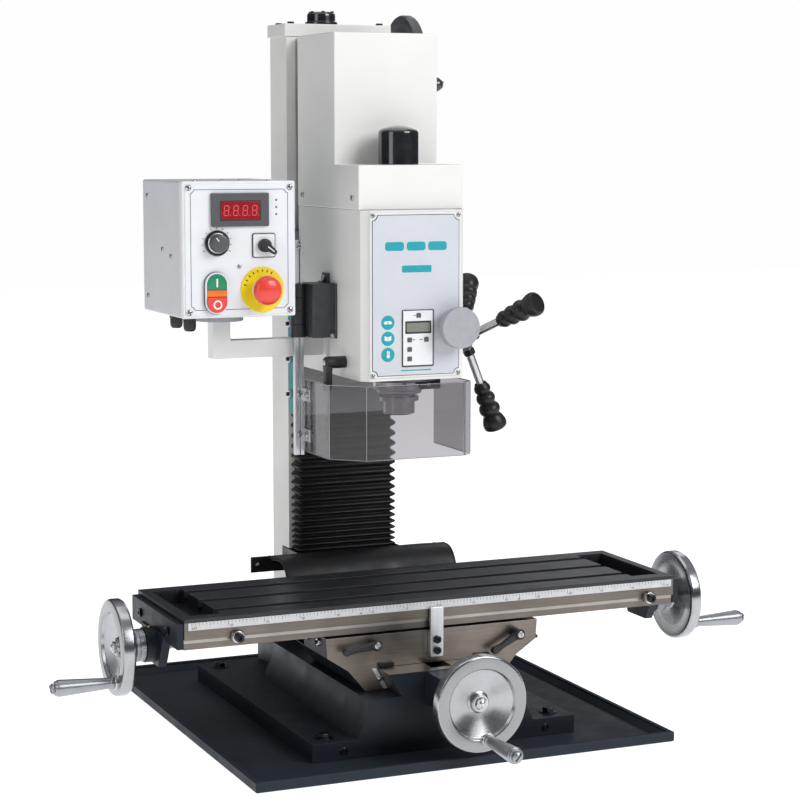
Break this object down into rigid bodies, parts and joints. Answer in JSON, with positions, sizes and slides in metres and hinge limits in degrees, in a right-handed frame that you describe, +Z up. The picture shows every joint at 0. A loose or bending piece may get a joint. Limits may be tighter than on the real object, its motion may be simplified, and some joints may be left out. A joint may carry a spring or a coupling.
{
  "type": "benchtop milling machine",
  "caption": "Benchtop milling machine with cross table, dovetail column, tilting head with quill and capstan, handwheels, guard, swivelling control box and drip tray.",
  "frame": {"origin": "underside of the drip tray, straight below the spindle axis at rest", "axes": "+X along the table to the operator's right, +Y away from the operator, +Z up"},
  "size_m": [1.0548, 0.7759, 1.0093],
  "materials": {
    "off_white_paint": "semi-gloss off-white paint, lightly textured",
    "slate_paint": "semi-gloss dark blue-grey paint",
    "charcoal_paint": "satin charcoal paint",
    "teal_paint": "satin teal paint",
    "grey_panel": "satin silver-grey powder coat",
    "ground_iron": "ground and oiled, satin",
    "steel": "turned and ground",
    "aluminium": "polished, turned",
    "scale": "satin, engraved divisions",
    "black_plastic": "moulded, slightly grained",
    "black_oxide": "black oxide, oiled",
    "bellows_rubber": "folded, coated cloth and rubber",
    "cover_rubber": "smooth rubber sheet",
    "grip_rubber": "stepped black grip",
    "smoke_sheet": "smoke-tinted clear sheet, polished edges",
    "green_button": "glossy green",
    "red_button": "glossy red"
  },
  "bodies": {
    "base": {"drip_tray": "slate_paint", "base_casting": "slate_paint", "column": "off_white_paint", "column_top_plate": "off_white_paint", "bearing_cap": "black_oxide", "column_bellows": "bellows_rubber", "way_cover": "cover_rubber"},
    "saddle": {"saddle": "ground_iron", "centre_stop": "steel"},
    "table": {"table": "ground_iron", "scale_strip": "scale", "left_bracket": "slate_paint", "right_bracket": "slate_paint"},
    "table_stop_left": {"table_stop_left": "steel"},
    "table_stop_right": {"table_stop_right": "steel"},
    "table_lock_left": {"table_lock_left": "black_plastic"},
    "table_lock_right": {"table_lock_right": "black_plastic"},
    "saddle_lock": {"saddle_lock": "black_plastic"},
    "x_drive": {"x_screw": "steel", "x_left_wheel": "aluminium", "x_right_wheel": "aluminium"},
    "x_dial_left": {"x_dial_left": "aluminium"},
    "x_dial_right": {"x_dial_right": "aluminium"},
    "x_left_grip": {"x_left_grip": "aluminium"},
    "x_right_grip": {"x_right_grip": "aluminium"},
    "y_drive": {"y_screw": "steel", "y_wheel": "aluminium"},
    "y_dial": {"y_dial": "aluminium"},
    "y_grip": {"y_grip": "aluminium"},
    "z_drive": {"z_shaft": "steel", "z_wheel": "charcoal_paint"},
    "z_grip": {"z_grip": "black_plastic"},
    "z_screw": {"z_screw": "steel"},
    "carriage": {"z_carriage": "teal_paint"},
    "head": {"head_casting": "off_white_paint", "head_cover": "off_white_paint", "front_panel": "grey_panel", "drive_motor": "charcoal_paint", "guard_bracket": "black_plastic", "control_arm": "off_white_paint"},
    "drawbar_cap": {"drawbar_cap": "black_plastic"},
    "motor_pulley": {"motor_pulley": "aluminium"},
    "spindle_pulley": {"spindle_pulley": "aluminium"},
    "quill": {"quill": "steel"},
    "spindle": {"spindle": "steel"},
    "capstan": {"capstan_hub": "steel", "capstan_grip_1": "grip_rubber", "capstan_grip_2": "grip_rubber", "capstan_grip_3": "grip_rubber"},
    "feed_knob": {"feed_knob": "grey_panel"},
    "quill_lock": {"quill_lock": "black_plastic"},
    "guard_hinge": {"hinge_barrel": "black_plastic"},
    "guard": {"guard_rail": "aluminium", "guard_panel": "smoke_sheet"},
    "control_box": {"control_box": "grey_panel"},
    "start_button": {"start_button": "green_button"},
    "stop_button": {"stop_button": "red_button"},
    "emergency_stop": {"emergency_stop": "red_button"},
    "speed_knob": {"speed_knob": "black_plastic"},
    "direction_switch": {"direction_switch": "black_plastic"}
  },
  "joints": [
    {"name": "saddle_travel", "type": "slide", "parent": "base", "child": "saddle", "axis": [0, 1, 0], "range_m": [-0.07, 0.095], "deforming": ["way_cover"]},
    {"name": "table_travel", "type": "slide", "parent": "saddle", "child": "table", "axis": [1, 0, 0], "range_m": [-0.19, 0.19]},
    {"name": "x_screw_turn", "type": "hinge", "parent": "table", "child": "x_drive", "pos_m": [0, -0.021, 0.15], "axis": [1, 0, 0], "range_deg": [-17110, 17110]},
    {"name": "x_dial_left_turn", "type": "hinge", "parent": "x_drive", "child": "x_dial_left", "pos_m": [-0.391, -0.021, 0.15], "axis": [1, 0, 0], "continuous": true},
    {"name": "x_dial_right_turn", "type": "hinge", "parent": "x_drive", "child": "x_dial_right", "pos_m": [0.41, -0.021, 0.15], "axis": [1, 0, 0], "continuous": true},
    {"name": "x_left_grip_spin", "type": "hinge", "parent": "x_drive", "child": "x_left_grip", "pos_m": [-0.47, -0.0477, 0.1089], "axis": [1, 0, 0], "continuous": true},
    {"name": "x_right_grip_spin", "type": "hinge", "parent": "x_drive", "child": "x_right_grip", "pos_m": [0.5, -0.0538, 0.1136], "axis": [1, 0, 0], "continuous": true},
    {"name": "y_screw_turn", "type": "hinge", "parent": "base", "child": "y_drive", "pos_m": [0, -0.236, 0.09], "axis": [0, 1, 0], "range_deg": [-6310, 8560]},
    {"name": "y_dial_turn", "type": "hinge", "parent": "y_drive", "child": "y_dial", "pos_m": [0, -0.23, 0.09], "axis": [0, 1, 0], "continuous": true},
    {"name": "y_grip_spin", "type": "hinge", "parent": "y_drive", "child": "y_grip", "pos_m": [0.00781, -0.31, 0.04163], "axis": [0, 1, 0], "continuous": true},
    {"name": "head_travel", "type": "slide", "parent": "base", "child": "carriage", "axis": [0, 0, 1], "range_m": [-0.13, 0.17], "deforming": ["column_bellows"]},
    {"name": "z_screw_turn", "type": "hinge", "parent": "base", "child": "z_screw", "pos_m": [-0.012, 0.26, 0.5], "axis": [0, 0, 1], "range_deg": [-15310, 11710]},
    {"name": "z_shaft_turn", "type": "hinge", "parent": "base", "child": "z_drive", "pos_m": [0.1, 0.26, 0.945], "axis": [1, 0, 0], "range_deg": [-15310, 11710]},
    {"name": "z_grip_spin", "type": "hinge", "parent": "z_drive", "child": "z_grip", "pos_m": [0.17, 0.29004, 0.90629], "axis": [1, 0, 0], "continuous": true},
    {"name": "head_tilt", "type": "hinge", "parent": "carriage", "child": "head", "pos_m": [0, 0.182, 0.61], "axis": [0, -1, 0], "range_deg": [-90, 45]},
    {"name": "quill_feed", "type": "slide", "parent": "head", "child": "quill", "axis": [0, 0, -1], "range_m": [0, 0.05], "stiffness_N_per_m": 500, "springref_m": -0.12},
    {"name": "capstan_turn", "type": "hinge", "parent": "head", "child": "capstan", "pos_m": [0.1, 0.044, 0.538], "axis": [1, 0, 0], "range_deg": [-1, 240]},
    {"name": "spindle_spin", "type": "hinge", "parent": "quill", "child": "spindle", "pos_m": [0, 0, 0.455], "axis": [0, 0, 1], "continuous": true},
    {"name": "spindle_pulley_spin", "type": "hinge", "parent": "head", "child": "spindle_pulley", "pos_m": [0, 0, 0.745], "axis": [0, 0, 1], "continuous": true},
    {"name": "motor_spin", "type": "hinge", "parent": "head", "child": "motor_pulley", "pos_m": [0, 0.115, 0.745], "axis": [0, 0, 1], "continuous": true},
    {"name": "fine_feed_turn", "type": "hinge", "parent": "head", "child": "feed_knob", "pos_m": [0.056, -0.08, 0.566], "axis": [0, 1, 0], "continuous": true},
    {"name": "quill_lock_swing", "type": "hinge", "parent": "head", "child": "quill_lock", "pos_m": [-0.1, 0.008, 0.516], "axis": [1, 0, 0], "range_deg": [-60, 60]},
    {"name": "drawbar_cap_lift", "type": "slide", "parent": "head", "child": "drawbar_cap", "axis": [0, 0, 1], "range_m": [0, 0.04]},
    {"name": "guard_swing", "type": "hinge", "parent": "head", "child": "guard_hinge", "pos_m": [-0.122, 0.072, 0.58], "axis": [0, 0, 1], "range_deg": [-100, 0]},
    {"name": "guard_height", "type": "slide", "parent": "guard_hinge", "child": "guard", "axis": [0, 0, 1], "range_m": [-0.04, 0]},
    {"name": "control_box_swivel", "type": "hinge", "parent": "head", "child": "control_box", "pos_m": [-0.2315, 0.0945, 0.575], "axis": [0, 0, -1], "range_deg": [0, 45]},
    {"name": "start_press", "type": "slide", "parent": "control_box", "child": "start_button", "axis": [0, 1, 0], "range_m": [0, 0.0015], "stiffness_N_per_m": 400, "springref_m": -0.002},
    {"name": "stop_press", "type": "slide", "parent": "control_box", "child": "stop_button", "axis": [0, 1, 0], "range_m": [0, 0.0025], "stiffness_N_per_m": 400, "springref_m": -0.002},
    {"name": "emergency_press", "type": "slide", "parent": "control_box", "child": "emergency_stop", "axis": [0, 1, 0], "range_m": [0, 0.0045], "stiffness_N_per_m": 800, "springref_m": -0.002},
    {"name": "speed_knob_turn", "type": "hinge", "parent": "control_box", "child": "speed_knob", "pos_m": [-0.264, 0, 0.684], "axis": [0, 1, 0], "range_deg": [-150, 150]},
    {"name": "direction_switch_turn", "type": "hinge", "parent": "control_box", "child": "direction_switch", "pos_m": [-0.1975, 0, 0.68], "axis": [0, 1, 0], "range_deg": [-74, 0]},
    {"name": "table_lock_left_swing", "type": "hinge", "parent": "saddle", "child": "table_lock_left", "pos_m": [-0.091, -0.13, 0.147], "axis": [0, 1, 0], "range_deg": [-60, 20]},
    {"name": "table_lock_right_swing", "type": "hinge", "parent": "saddle", "child": "table_lock_right", "pos_m": [0.123, -0.13, 0.143], "axis": [0, 1, 0], "range_deg": [0, 28]},
    {"name": "saddle_lock_swing", "type": "hinge", "parent": "saddle", "child": "saddle_lock", "pos_m": [0.165, -0.066, 0.139], "axis": [1, 0, 0], "range_deg": [-20, 45]},
    {"name": "table_stop_left_shift", "type": "slide", "parent": "table", "child": "table_stop_left", "axis": [1, 0, 0], "range_m": [0, 0.06]},
    {"name": "table_stop_right_shift", "type": "slide", "parent": "table", "child": "table_stop_right", "axis": [1, 0, 0], "range_m": [-0.09, 0]}
  ],
  "couplings": [
    {"joint": "x_screw_turn", "follows": "table_travel", "rad_per_m": 1570.8},
    {"joint": "y_screw_turn", "follows": "saddle_travel", "rad_per_m": 1570.8},
    {"joint": "z_screw_turn", "follows": "head_travel", "rad_per_m": -1570.8},
    {"joint": "z_shaft_turn", "follows": "head_travel", "rad_per_m": -1570.8},
    {"joint": "capstan_turn", "follows": "quill_feed", "rad_per_m": 83.333},
    {"joint": "spindle_pulley_spin", "follows": "spindle_spin", "ratio": 1},
    {"joint": "motor_spin", "follows": "spindle_spin", "ratio": 1.8182}
  ]
}
